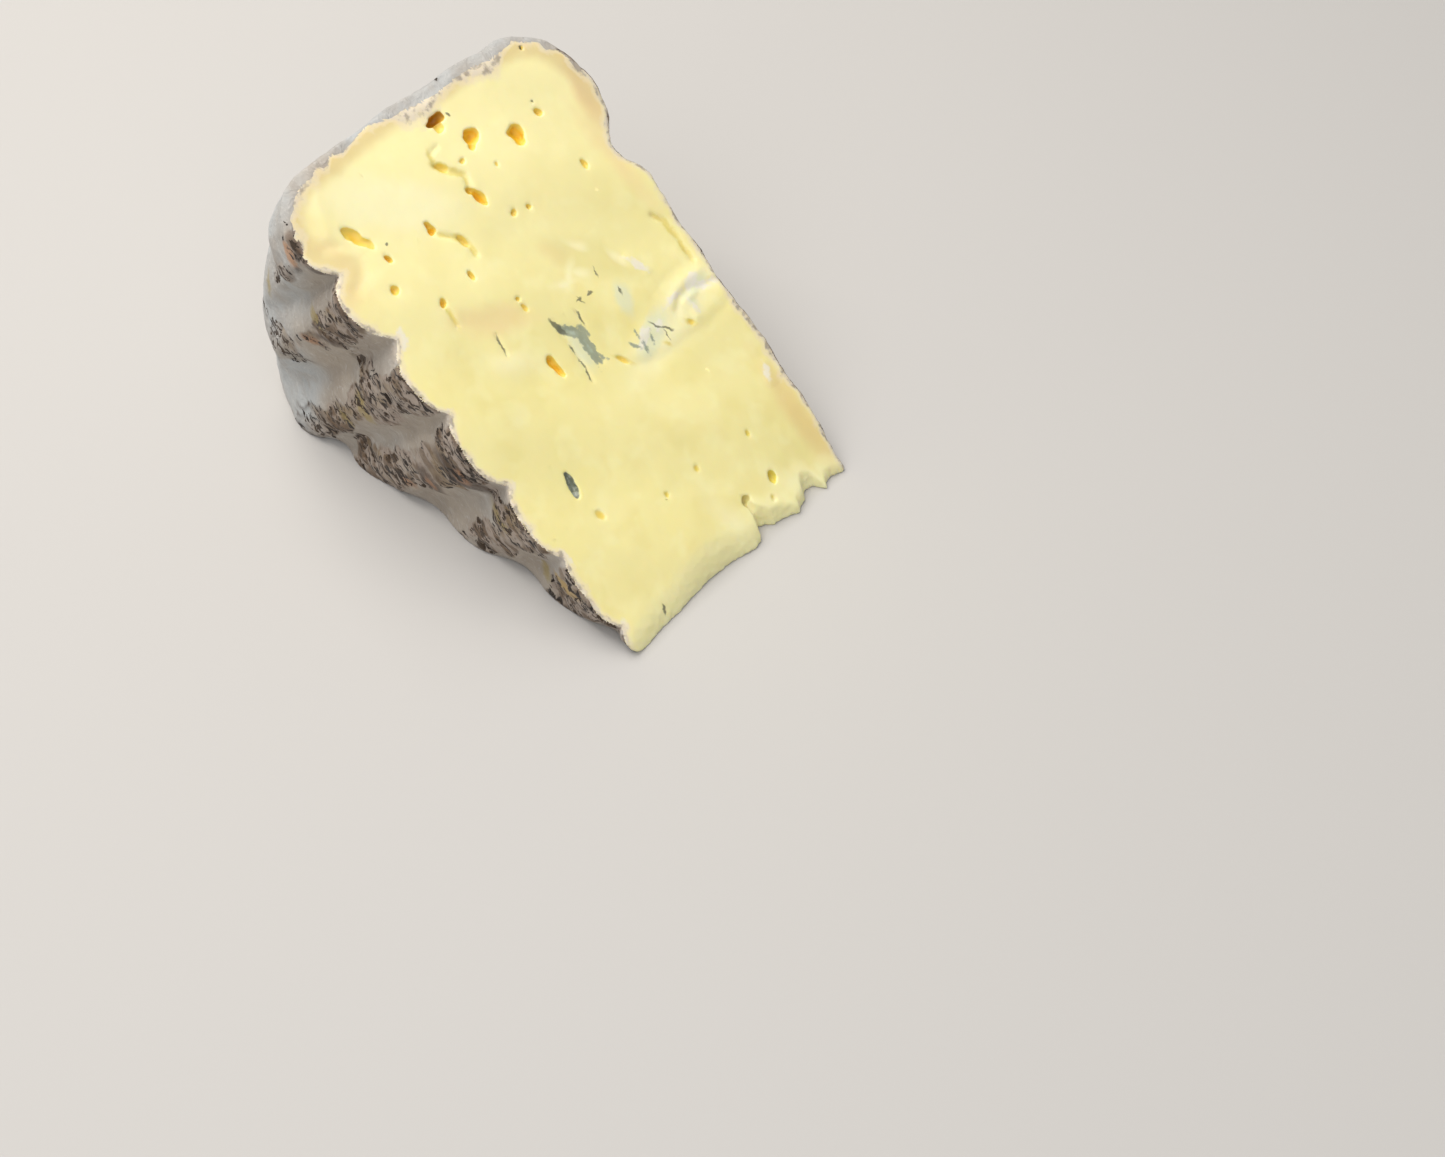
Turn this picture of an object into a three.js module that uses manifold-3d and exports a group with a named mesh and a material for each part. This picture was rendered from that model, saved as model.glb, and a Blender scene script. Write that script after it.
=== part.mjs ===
// A wedge of natural-rind cheese, lying on one of its two cut faces.
// It is made as the real one is: a whole wheel is turned, its rind is wrinkled,
// and a knife takes one slice out of it. The paste's eyes and the torn tip follow.
// Millimetres. Y is the wheel's own axis. X runs from that axis out to the rim
// along the lower cut face, and Z is up.

import * as THREE from "three";
import { mergeVertices } from "three/addons/utils/BufferGeometryUtils.js";
import Module from "manifold-3d";

const wasm = await Module();
wasm.setup();

// ---- Driving dimensions -------------------------------------------------
const WHEEL_RADIUS = 126;
const WEDGE_ANGLE = THREE.MathUtils.degToRad(37);
const GROOVED_SIDE = { atAxis: 36.2, atShoulder: 40.4, corner: 17 }; // half thickness on +Y
const PLAIN_SIDE = { atAxis: 36, atShoulder: 42.2, corner: 19.5 }; // half thickness on -Y
const RIM_BULGE = 2; // how far the rim's curve is drawn out between its corners

// The grooved side's corner has sunk, most of all at the lower cut, and is knocked in
// at two places. Each: degrees up from the lower cut, depth, half width in degrees.
const CORNER_SAG = { depth: 1.7, inset: 4, reach: 9 };
const CORNER_DENTS = [
  [7.3, 2, 4.5],
  [25.5, 1.6, 3.6],
];

// The draining mat presses straight parallel grooves into the +Y side. They are
// narrow notches at the upper cut, and broad shallow bands towards the lower one.
const GROOVE_HEADING = THREE.MathUtils.degToRad(44); // the way across the grooves, from X to Z
// Each: how far from the axis it meets the upper cut, its depth and half width there.
const GROOVES = [
  [9.5, 2.4, 2.4],
  [28.9, 2, 3],
  [48.3, 2.9, 2.9],
  [67.8, 2.4, 2.2],
  [86.4, 3.7, 3.4],
  [104.2, 4.4, 3],
  [123, 3.5, 3],
  [141, 3.5, 3],
];
const GROOVE_BELOW = { depth: 2.8, widthShare: 1.9 }; // what they become at the lower cut
const GROOVE_FLANK = { below: 2, above: 1.25 }; // a power: 2 is a round band, 1 a sharp notch
const GROOVE_WANDER = [[1.4, 0.055, 0, -0.07, 0]]; // how they stray by the lower cut, as a wave
const GROOVE_END = { from: 18, gone: 5 }; // how far inside the rim the grooves run out
const RIDGE_FALL = 1.3; // how much lower the ridges themselves are at the lower cut

// The -Y side is pinched inside its swollen shoulder, most of all at the upper cut.
const PINCH = { radius: 91.5, depth: 4.6, width: 5.8, leftBelow: 0.25 };

// Where the rind's marks begin: how far from the middle of the rim each side's own
// marks start and are full, and how far inside the rim a side starts to turn over.
const SIDE_MARKS = { from: 8, full: 29 };
const TURN_OVER = 12;

// Low waves. Each is a height, how fast it runs along the three axes (radians
// for each millimetre) and where it starts.
const RIND_LUMPS = [
  [0.3, 0.21, -0.06, 0.19, 0.6],
  [0.22, 0.33, 0.24, -0.29, 1.7],
  [0.2, -0.21, 0.38, 0.47, 0],
];
const PASTE_SWELL = [
  [0.3, 0.075, 0.04, 0, 0.5],
  [0.25, 0.19, -0.12, 0, 0],
  [0.15, 0, 0.26, 0, 0],
];

// ---- Mesh fineness ------------------------------------------------------
const PROFILE_STEP = { groovedSide: 2.2, elsewhere: 3 };
const TURN_SEGMENTS = 178;
const CUT_FACE_STEP = 4.2;
const EYE_DETAIL = 2;

// ---- Small helpers ------------------------------------------------------
const { clamp, lerp, smoothstep } = THREE.MathUtils;
const bell = (distance, width) => Math.exp(-((distance / width) ** 2));

/** The sum of a list of low waves at one place. */
function waves(list, x, y, z) {
  return list.reduce(
    (sum, [height, alongX, alongY, alongZ, start]) =>
      sum + height * Math.sin(alongX * x + alongY * y + alongZ * z + start),
    0,
  );
}

/** A closed geometry as a manifold-3d solid. */
function solid(geometry) {
  const bare = geometry.index ? geometry.toNonIndexed() : geometry.clone();
  bare.deleteAttribute("normal");
  bare.deleteAttribute("uv");
  const merged = mergeVertices(bare, 1e-3);
  return new wasm.Manifold(
    new wasm.Mesh({
      numProp: 3,
      vertProperties: merged.attributes.position.array,
      triVerts: new Uint32Array(merged.index.array),
    }),
  );
}

/** A manifold-3d solid as a geometry with flat facets. */
function geometryOf(shape) {
  const { vertProperties, triVerts } = shape.getMesh();
  const geometry = new THREE.BufferGeometry();
  geometry.setAttribute("position", new THREE.BufferAttribute(vertProperties, 3));
  geometry.setIndex(new THREE.BufferAttribute(triVerts, 1));
  const faceted = geometry.toNonIndexed();
  faceted.computeVertexNormals();
  return faceted;
}

/** Moves every vertex of a geometry by a function that changes it in place. */
function moveVertices(geometry, change) {
  const position = geometry.attributes.position;
  const point = new THREE.Vector3();
  for (let i = 0; i < position.count; i++) {
    point.fromBufferAttribute(position, i);
    change(point);
    position.setXYZ(i, point.x, point.y, point.z);
  }
  return geometry;
}

// ---- The wheel ----------------------------------------------------------
/** A flat side from the axis out to its shoulder, with a point at each named radius. */
function sidePoints(side, sign, radii, step) {
  const shoulder = WHEEL_RADIUS - side.corner;
  const stops = [0, ...radii.filter((radius) => radius < shoulder - 1), shoulder];
  const points = [new THREE.Vector2(0, sign * side.atAxis)];
  for (let i = 1; i < stops.length; i++) {
    const count = Math.ceil((stops[i] - stops[i - 1]) / step);
    for (let j = 1; j <= count; j++) {
      const radius = lerp(stops[i - 1], stops[i], j / count);
      const half = lerp(side.atAxis, side.atShoulder, radius / shoulder);
      points.push(new THREE.Vector2(radius, sign * half));
    }
  }
  return points;
}

/** Half of the wheel's outline, from the axis on the -Y side round to the +Y side. */
function wheelProfile() {
  const low = PLAIN_SIDE;
  const high = GROOVED_SIDE;
  const rim = WHEEL_RADIUS;
  const turn = new THREE.Path();
  turn.moveTo(rim - low.corner, -low.atShoulder);
  turn.quadraticCurveTo(rim, -low.atShoulder, rim, -low.atShoulder + low.corner);
  turn.quadraticCurveTo(rim + RIM_BULGE, 0, rim, high.atShoulder - high.corner);
  turn.quadraticCurveTo(rim, high.atShoulder, rim - high.corner, high.atShoulder);
  const count = Math.round(turn.getLength() / PROFILE_STEP.elsewhere);
  const grooveRadii = GROOVES.map(([radius]) => radius);
  return [
    ...sidePoints(low, -1, [PINCH.radius], PROFILE_STEP.elsewhere),
    ...turn.getSpacedPoints(count).slice(1, -1),
    ...sidePoints(high, 1, grooveRadii, PROFILE_STEP.groovedSide).reverse(),
  ];
}

/** 0 at the lower cut and 1 at the upper one, with no jump at the axis itself. */
const upTheSlice = (x, z) => clamp(Math.atan2(z, Math.max(x, 1)) / WEDGE_ANGLE, 0, 1);

/** Depth of the grooves at (x, z): narrow notches at the upper cut, broad bands below. */
function grooveDepth(x, z) {
  const up = upTheSlice(x, z);
  const wander = (1 - up) * waves(GROOVE_WANDER, x, 0, z);
  const across = x * Math.cos(GROOVE_HEADING) + z * Math.sin(GROOVE_HEADING) + wander;
  const fromUpperCut = Math.cos(GROOVE_HEADING - WEDGE_ANGLE);
  const power = lerp(GROOVE_FLANK.below, GROOVE_FLANK.above, up);
  const depth = GROOVES.reduce((sum, [middle, deepest, half]) => {
    const width = half * lerp(GROOVE_BELOW.widthShare, 1, up);
    const off = Math.abs(across - middle * fromUpperCut) / width;
    return sum + lerp(GROOVE_BELOW.depth, deepest, up) * Math.exp(-(off ** power));
  }, 0);
  const inside = WHEEL_RADIUS - Math.hypot(x, z);
  return depth * smoothstep(inside, GROOVE_END.gone, GROOVE_END.from);
}

/** How far the grooved side's corner has sunk at (x, z). */
function cornerSag(x, z) {
  const turned = THREE.MathUtils.radToDeg(Math.atan2(z, Math.max(x, 1)));
  return CORNER_DENTS.reduce(
    (sum, [middle, depth, half]) => sum + depth * bell(turned - middle, half),
    CORNER_SAG.depth * (1 - upTheSlice(x, z)),
  );
}

/** Wrinkles the smooth wheel: grooves on +Y, a pinch on -Y, ripening lumps everywhere. */
function wrinkle(point) {
  const { x, y, z } = point;
  const radius = Math.hypot(x, z);
  const onSide = 1 - smoothstep(radius, WHEEL_RADIUS - TURN_OVER, WHEEL_RADIUS + RIM_BULGE);
  const grooved = smoothstep(y, SIDE_MARKS.from, SIDE_MARKS.full);
  const plain = smoothstep(-y, SIDE_MARKS.from, SIDE_MARKS.full);
  const pinch = PINCH.depth * lerp(PINCH.leftBelow, 1, upTheSlice(x, z));
  const lump = waves(RIND_LUMPS, x, y, z);
  const cornerOff = Math.hypot(
    WHEEL_RADIUS - CORNER_SAG.inset - radius,
    GROOVED_SIDE.atShoulder - CORNER_SAG.inset - y,
  );
  const sag = cornerSag(x, z) * Math.SQRT1_2 * bell(cornerOff, CORNER_SAG.reach);
  const fall = RIDGE_FALL * (1 - upTheSlice(x, z)) * onSide;
  point.y -= grooved * (grooveDepth(x, z) + fall) + sag;
  point.y += plain * pinch * bell(radius - PINCH.radius, PINCH.width);
  point.y += Math.sign(y) * onSide * lump;
  const outward = ((1 - onSide) * lump - sag) / Math.max(radius, 1);
  point.x += x * outward;
  point.z += z * outward;
}

function makeWheel() {
  const turned = new THREE.LatheGeometry(wheelProfile(), TURN_SEGMENTS);
  return solid(moveVertices(turned, wrinkle));
}

// ---- The two cuts -------------------------------------------------------
const BLOCK_MARGIN = 10; // how far the cutting blocks reach past the wheel

/**
 * A block whose top is the upper cut, tilted about the wheel's axis by the wedge's
 * angle. The soft paste relaxes once the knife has passed, so that face swells a little.
 */
function belowUpperCut() {
  const length = WHEEL_RADIUS + 2 * BLOCK_MARGIN;
  const width = 2 * (PLAIN_SIDE.atShoulder + BLOCK_MARGIN);
  const depth = 2 * WHEEL_RADIUS; // far enough to reach past the lower cut all the way out
  const block = new THREE.BoxGeometry(
    length, width, depth,
    Math.round(length / CUT_FACE_STEP), Math.round(width / CUT_FACE_STEP), 1,
  );
  block.translate(length / 2 - BLOCK_MARGIN, 0, 0);
  moveVertices(block, (point) => {
    if (point.z > 0) point.z = waves(PASTE_SWELL, point.x, point.y, 0);
  });
  block.rotateY(-WEDGE_ANGLE);
  return solid(block);
}

function aboveLowerCut() {
  const size = 3 * WHEEL_RADIUS;
  return solid(new THREE.BoxGeometry(size, size, size).translate(0, 0, size / 2));
}

// ---- Eyes and crevices in the cut faces ---------------------------------
// Each: along and across on the cut face, then length, width, depth and turn in degrees.
const UPPER_EYES = [
  [106.9, -18.6, 4.6, 3.6, 1.9, 4], // the three big ones near the rim
  [112, -9.2, 3.2, 3.8, 2, 15],
  [119.2, -4.6, 2.1, 5, 2.4, 12],
  [100.4, -1.7, 4.6, 1.9, 2, 10], // a crack with its deep end inwards
  [110, 1.5, 3, 1.8, 0.8, 40],
  [95, 7.9, 3.6, 1.5, 0.8, 12], // its neighbour, deep end outwards
  [100.6, 12.4, 2.2, 2, 1.7, 0],
  [86.9, 20.8, 2.3, 1.6, 1.3, -20],
  [108.6, 27.3, 6.8, 2.9, 1.1, 27],
  [95, 28, 2.1, 1.9, 1.1, 0],
  [88.1, 11.5, 2.6, 1.2, 1, 4],
  [93, -27.8, 2.5, 1.4, 0.8, 0],
  [61.2, 8.2, 4.4, 1.5, 1.7, 6],
  [39.6, 22.5, 5.8, 2.2, 1.3, -9], // the slit lined with mould
  [54, -6.1, 3.6, 1, 0.6, 33],
  [12.5, -18.3, 3.4, 2, 1.4, -8],
  [8.6, -9.4, 7.6, 2.2, 1.5, -2], // the notch in the torn tip, and its deep end
  [12.2, -9, 2.8, 2.8, 1.9, 20],
];
// The lower face has fewer, and no crack.
const LOWER_EYES = [
  [104, 16, 4.6, 3.4, 2.4, 10],
  [88, -14, 3.4, 2.6, 2, -20],
  [112, -4, 4, 3.2, 2.4, 30],
  [66, 8, 5, 2, 2, 5],
  [46, -20, 3, 2.2, 1.6, -10],
  [97, 27, 3.4, 2.4, 1.8, 40],
  [101, -24, 2.8, 2.4, 1.9, 0],
];

/** A flattened ball, centred on the cut face, that leaves an eye of the named size. */
function eye([along, across, length, width, depth, turn], faceAngle) {
  const ball = new THREE.IcosahedronGeometry(1, EYE_DETAIL);
  ball.scale(length / 2, width / 2, depth);
  ball.rotateZ(THREE.MathUtils.degToRad(turn));
  ball.translate(along, across, 0);
  ball.rotateY(-faceAngle);
  return solid(ball);
}

// ---- The torn tip -------------------------------------------------------
// Where the edge broke at its foot: across, and how far from the wheel's axis.
const TIP_EDGE = [
  [-60, 2.5],
  [-35.5, 2.5],
  [-32, 3.6],
  [-28.7, 2],
  [-27, 5],
  [-24, 5.1],
  [-22.5, 3.4],
  [-19.3, 1.9],
  [-17.4, 3],
  [-12.7, 4.2],
  [-9.4, 6.6],
  [-7.4, 3.4],
  [-5.4, 2.6],
  [4, 4.4],
  [9, 4.6],
  [19, 3.7],
  [60, 2.2],
];
const TIP_LEAN = 0.3; // how far the torn face leans back for each millimetre it rises
const TIP_REACH = 12; // how far the broken piece reaches past the axis

/** What broke off the tip, as a curtain that leans right through it. */
function tornTip() {
  const outline = new THREE.Shape();
  outline.moveTo(-TIP_REACH, TIP_EDGE[0][0]);
  for (const [across, foot] of TIP_EDGE) outline.lineTo(foot, across);
  outline.lineTo(-TIP_REACH, TIP_EDGE[TIP_EDGE.length - 1][0]);
  const curtain = new THREE.ExtrudeGeometry(outline, {
    depth: 2 * TIP_REACH,
    bevelEnabled: false,
  });
  curtain.translate(0, 0, -TIP_REACH);
  moveVertices(curtain, (point) => {
    point.x += TIP_LEAN * point.z;
  });
  return solid(curtain);
}

// ---- The wedge ----------------------------------------------------------
function makeWedge() {
  let wedge = makeWheel().intersect(belowUpperCut()).intersect(aboveLowerCut());
  wedge = wedge.subtract(tornTip());
  for (const sizes of UPPER_EYES) wedge = wedge.subtract(eye(sizes, WEDGE_ANGLE));
  for (const sizes of LOWER_EYES) wedge = wedge.subtract(eye(sizes, 0));
  return wedge;
}

const cheeseWedge = new THREE.Mesh(
  geometryOf(makeWedge()),
  new THREE.MeshStandardMaterial({ color: 0xede2a4, roughness: 0.5, metalness: 0 }),
);
cheeseWedge.name = "cheese_wedge";

// The frame's origin is the middle of the footprint's box, on the surface it lies on.
const box = new THREE.Box3().setFromObject(cheeseWedge);
const centre = box.getCenter(new THREE.Vector3());
cheeseWedge.position.set(-centre.x, -centre.y, 0);

const part = new THREE.Group();
part.add(cheeseWedge);
export default part;
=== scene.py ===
import math

import bpy
import numpy as np
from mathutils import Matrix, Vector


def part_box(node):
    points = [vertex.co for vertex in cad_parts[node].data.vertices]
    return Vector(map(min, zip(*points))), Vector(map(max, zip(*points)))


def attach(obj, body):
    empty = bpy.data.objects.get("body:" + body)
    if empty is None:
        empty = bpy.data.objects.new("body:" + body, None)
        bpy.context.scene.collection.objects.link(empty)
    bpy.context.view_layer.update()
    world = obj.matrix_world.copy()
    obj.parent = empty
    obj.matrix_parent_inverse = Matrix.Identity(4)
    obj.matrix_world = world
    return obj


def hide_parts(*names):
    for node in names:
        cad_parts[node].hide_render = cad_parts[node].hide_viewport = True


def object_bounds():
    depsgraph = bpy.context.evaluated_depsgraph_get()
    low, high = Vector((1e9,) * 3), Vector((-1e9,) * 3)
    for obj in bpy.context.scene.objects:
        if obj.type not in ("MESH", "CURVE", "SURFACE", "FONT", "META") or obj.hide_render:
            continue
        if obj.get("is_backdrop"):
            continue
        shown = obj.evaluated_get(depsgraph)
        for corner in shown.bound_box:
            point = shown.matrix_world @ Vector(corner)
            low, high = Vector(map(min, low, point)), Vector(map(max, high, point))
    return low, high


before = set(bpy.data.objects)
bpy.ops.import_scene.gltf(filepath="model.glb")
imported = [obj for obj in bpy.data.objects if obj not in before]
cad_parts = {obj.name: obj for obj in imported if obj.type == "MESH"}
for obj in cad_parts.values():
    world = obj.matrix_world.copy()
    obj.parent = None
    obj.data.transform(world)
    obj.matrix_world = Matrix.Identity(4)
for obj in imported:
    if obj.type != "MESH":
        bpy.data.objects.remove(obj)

import openvdb
from mathutils import Euler, Vector

cad_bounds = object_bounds()


# ---- The floor, the lights and the camera -------------------------------
# A pale painted floor under a wide soft window and a cooler ceiling. The camera looks down
# on the upper cut from the tip's side, a little under half a metre from the axis of the wheel
# that the slice was cut from, which is where the slice's two cuts meet.

MM = 0.001
TIP_BREAK = 1.9  # the least that is gone of the tip, measured from the wheel's axis
GROOVED_HALF = 40.05  # from the wheel's middle plane to the outermost of the grooved side
low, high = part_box("cheese_wedge")
AXIS = Vector((low.x / MM - TIP_BREAK, high.y / MM - GROOVED_HALF, 0))  # mm
CAMERA_FROM_AXIS = Vector((-182.8, 216.2, 369.1))  # mm
CAMERA_PITCH = math.radians(37.2)  # up from looking straight down
CAMERA_HEADING = math.radians(221.54)
FLOOR_HALF = 1.5  # m
# Name: where it stands from the slice (m), how wide it is (m), power (W), colour.
LIGHTS = {
    "window": ((0.42, 0.02, 0.85), 0.7, 9.3, "#fffaf4"),
    "ceiling": ((-0.32, 0.46, 0.98), 1.4, 8.5, "#f9faff"),
}


def linear(code):
    """An sRGB hex colour as the linear RGBA that Blender works in."""
    parts = [int(code[i:i + 2], 16) / 255 for i in (1, 3, 5)]
    curve = [c / 12.92 if c <= 0.04045 else ((c + 0.055) / 1.055) ** 2.4 for c in parts]
    return (*curve, 1.0)


def add(tree, kind, sockets=None, **settings):
    """Adds a node. Sockets takes a value or another node's output for each input."""
    node = tree.nodes.new(kind)
    for name, value in settings.items():
        setattr(node, name, value)
    for name, value in (sockets or {}).items():
        if isinstance(value, bpy.types.NodeSocket):
            tree.links.new(value, node.inputs[name])
        else:
            node.inputs[name].default_value = value
    return node


camera = bpy.data.objects.new("camera", bpy.data.cameras.new("camera"))
bpy.context.scene.collection.objects.link(camera)
bpy.context.scene.camera = camera
camera.data.lens = 52  # mm, on a 36 mm film
camera.data.sensor_width = 36
camera.data.clip_start = 0.01
camera.location = (AXIS + CAMERA_FROM_AXIS) * MM
camera.rotation_euler = Euler((CAMERA_PITCH, 0, CAMERA_HEADING))

floor_mesh = bpy.data.meshes.new("floor")
corners = [(-1, -1), (1, -1), (1, 1), (-1, 1)]
floor_mesh.from_pydata([(x * FLOOR_HALF, y * FLOOR_HALF, 0) for x, y in corners], [], [(0, 1, 2, 3)])
floor = bpy.data.objects.new("floor", floor_mesh)
bpy.context.scene.collection.objects.link(floor)
floor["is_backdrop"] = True
floor_paint = bpy.data.materials.new("pale_painted_floor")
floor_paint.use_nodes = True
painted = floor_paint.node_tree.nodes["Principled BSDF"]
painted.inputs["Base Color"].default_value = linear("#bdbab5")
painted.inputs["Roughness"].default_value = 0.8
floor_mesh.materials.append(floor_paint)

for name, (place, width, power, tint) in LIGHTS.items():
    lamp = bpy.data.lights.new(name, "AREA")
    lamp.size = width
    lamp.energy = power
    lamp.color = linear(tint)[:3]
    holder = bpy.data.objects.new(name, lamp)
    bpy.context.scene.collection.objects.link(holder)
    holder.location = place
    holder.rotation_euler = Vector(place).to_track_quat("Z", "Y").to_euler()

room = bpy.data.worlds.new("room")
bpy.context.scene.world = room
room.use_nodes = True
room.node_tree.nodes["Background"].inputs["Color"].default_value = linear("#eef1f5")
room.node_tree.nodes["Background"].inputs["Strength"].default_value = 0.3
bpy.context.scene.view_settings.view_transform = "Standard"


# ---- The slice of cheese ------------------------------------------------
# One soft body: a round wheel, its rind creased by the draining mat, cut twice by a knife,
# its tip torn off as the knife came away, and eyes left by gas in the paste. It is worked
# out as a field of distances, then meshed.

# Sizes are in millimetres from the wheel's axis: x outwards along the lower cut, y across the
# wheel towards the grooved side, z up. Places on the upper cut are along it, then across.
OPENING = math.radians(37)  # between the two cuts
RIM_PROUD = 1.4  # how far the rim bulges past the wheel's radius at the lower cut
RADIUS = (high.x - low.x) / MM + TIP_BREAK - RIM_PROUD
RIM_CROWN = (1, 23)  # how far the rim's middle stands out, and over what half width
GROOVED_SIDE = (36.2, 40.4, 109)  # half thickness at the axis and shoulder, and its radius
PLAIN_SIDE = (36, 42.2, 107)
SIDE_ENDS = (12, -2)  # inside the rim, where a flat side starts to turn and has turned
GROOVED_CORNER = (20.0, 14.5)  # rounding where the side turns into the rim: below, above
# Where that corner is knocked in: degrees up from the lower cut, rounding added, half width.
CORNER_DENTS = [(7.3, 4.8, 4.5), (25.5, 3.9, 3.6)]
PLAIN_CORNER = 17.5
CORNER_SQUARE = {"grooved": 2, "plain": 2.3}  # 2 is a round corner, and more is squarer
GROOVE_HEADING = math.radians(44)
GROOVE_BELOW = 2.8  # how deep every groove is where it meets the lower cut
GROOVE_BROADER = 1.9  # how many times as broad it is there
GROOVE_SQUARE = (2, 1.25)  # how full its flanks are: at the lower cut, at the upper
GROOVE_STRAY = (1.4, 0.055, 0.07)  # how far it strays there, and radians per mm of x and z
GROOVE_ENDS = (18, 5)  # inside the rim, where the grooves start to run out and have gone
RIDGE_FALL = 1.3  # how much lower the ridges are at the lower cut
# Mat grooves: how far out, depth and half width where the upper cut meets them.
GROOVES = [
    (9.5, 2.4, 2.4), (28.9, 2.0, 3.0), (48.3, 2.9, 2.9), (67.8, 2.4, 2.2), (86.4, 3.7, 3.4),
    (104.2, 4.4, 3.0), (123, 3.5, 3), (141, 3.5, 3),
]
# The dent that runs round the plain side, inside its shoulder, and the share of it left below.
PINCH = {"radius": 91.5, "depth": 4.6, "width": 5.8, "left_below": 0.25}
# Long waves: height, radians per mm of x, y and z, and where they start.
RIND_LUMPS = [
    (0.3, 0.21, -0.06, 0.19, 0.6),
    (0.22, 0.33, 0.24, -0.29, 1.7),
    (0.2, -0.21, 0.38, 0.47, 0),
]
PASTE_SWELL = [(0.3, 0.075, 0.04, 0, 0.5), (0.25, 0.19, -0.12, 0, 0), (0.15, 0, 0.26, 0, 0)]
# The torn tip's foot: across the wheel, and how far out from the axis.
TIP_EDGE = [
    (-40, 2.6), (-35.5, 2.5), (-34.4, 2.8), (-32, 3.6), (-29.8, 3.3), (-28.7, 2.0), (-28, 3.0),
    (-27, 5.0), (-25, 5.5), (-24, 5.1), (-22.5, 3.4), (-20.2, 3.0), (-19.3, 1.9), (-17.4, 3.0),
    (-15, 3.9), (-12.7, 4.2), (-11.4, 5.4), (-9.4, 6.6), (-8.6, 5.3), (-7.4, 3.4), (-5.4, 2.6),
    (-3, 3.0), (-1, 3.6), (1, 4.1), (4, 4.4), (9, 4.6), (14, 4.3), (19, 3.7), (25, 3.6),
    (29, 3.1), (32, 2.7), (34, 2.4), (40, 2.4),
]
TIP_LEAN = 0.3  # the torn face leans back as it rises
TIP_TORN = (-9, -5)  # across: torn sharply up to the first, pulled smooth past the second
TIP_EDGE_ROUND = (0.7, 2.6)  # rounding of its edges on each side of there
TIP_TEAR = [(0.25, 1.3, 30), (0.12, 0.6, 31)]  # roughness: height, lump, seed

# Eyes in the upper cut: along, across, length, width, depth, turn in degrees.
UPPER_EYES = [
    (106.9, -18.6, 4.6, 3.6, 1.9, 4), (105.2, -17.9, 2.4, 2.2, 1.5, 30),
    (112.0, -9.2, 3.2, 3.8, 2.0, 15), (110.4, -7.9, 2.6, 1.8, 1.3, -28),
    (119.2, -4.6, 2.1, 5.0, 2.4, 12), (117.4, -4.2, 2.6, 3.2, 0.9, 20),
    (100.4, -1.7, 4.6, 1.9, 2.0, 10), (102.6, -0.7, 2.4, 1.5, 1.3, 40),
    (110.0, 1.5, 3.0, 1.8, 0.8, 40),
    (108.7, -3.6, 1.5, 1.7, 0.6, 0), (93.5, -6.2, 1.7, 1.7, 0.9, 0), (92.7, -10, 1.2, 1.0, 0.9, 0),
    (104, -9.8, 1.2, 0.9, 0.5, 0), (108, -26.3, 1.8, 1.6, 1.1, 0), (93, -27.8, 2.5, 1.4, 0.8, 0),
    (121.3, -32.4, 0.9, 0.9, 1.0, 0), (110.5, -26.6, 0.6, 0.5, 0.6, 0), (95.0, 7.9, 3.6, 1.5, 0.8, 12),
    (100.6, 12.4, 2.2, 2.0, 1.7, 0), (101.8, 12.3, 2.0, 1.3, 1.4, 0),
    (88.1, 11.5, 2.6, 1.2, 1.0, 4), (95, 28, 2.1, 1.9, 1.1, 0), (101, 24.5, 2.2, 1.2, 1.4, 22),
    (108.6, 27.3, 6.8, 2.9, 1.1, 27), (105.6, 25.7, 2.6, 1.4, 0.6, 10),
    (61.2, 8.2, 4.4, 1.5, 1.7, 6), (63.2, 8.4, 3.4, 1.8, 1.5, 0), (39.6, 22.4, 6.3, 1.9, 1.3, -14),
    (86.9, 20.8, 2.3, 1.6, 1.3, -20), (75.8, 5.9, 1.9, 1.0, 0.7, 0), (78.2, 6.0, 1.1, 1.0, 0.8, 0),
    (24.9, 5.8, 1.7, 1.1, 0.4, 0), (25.1, -4.2, 2.2, 1.1, 0.35, 0), (31, 21.5, 2.4, 1.9, 0.35, 0),
    (12.5, -18.3, 3.4, 2.0, 1.4, -8), (8.6, -15.2, 2.0, 1.2, 0.4, 0), (23.6, -19.7, 1.8, 1.3, 0.4, 0),
    (54, -6.1, 3.6, 1.0, 0.6, 33), (8.6, -9.4, 7.6, 2.2, 1.5, -2), (12.2, -9.0, 2.8, 2.8, 1.9, 20),
    (51, -25.6, 1.9, 1.2, 0.35, 40),
]
LOWER_EYES = [
    (104, 16, 4.6, 3.4, 2.4, 10), (88, -14, 3.4, 2.6, 2, -20), (112, -4, 4, 3.2, 2.4, 30),
    (66, 8, 5, 2, 2, 5), (46, -20, 3, 2.2, 1.6, -10), (97, 27, 3.4, 2.4, 1.8, 40),
    (78, 22, 2.2, 1.4, 1.3, 0), (31, 9, 1.8, 1.5, 1.2, 0), (58, -29, 2.4, 1.2, 1.1, 15),
    (101, -24, 2.8, 2.4, 1.9, 0), (24, -14, 1.6, 1.4, 1.0, 0), (73, -6, 1.5, 1.5, 1.2, 0),
]
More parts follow.
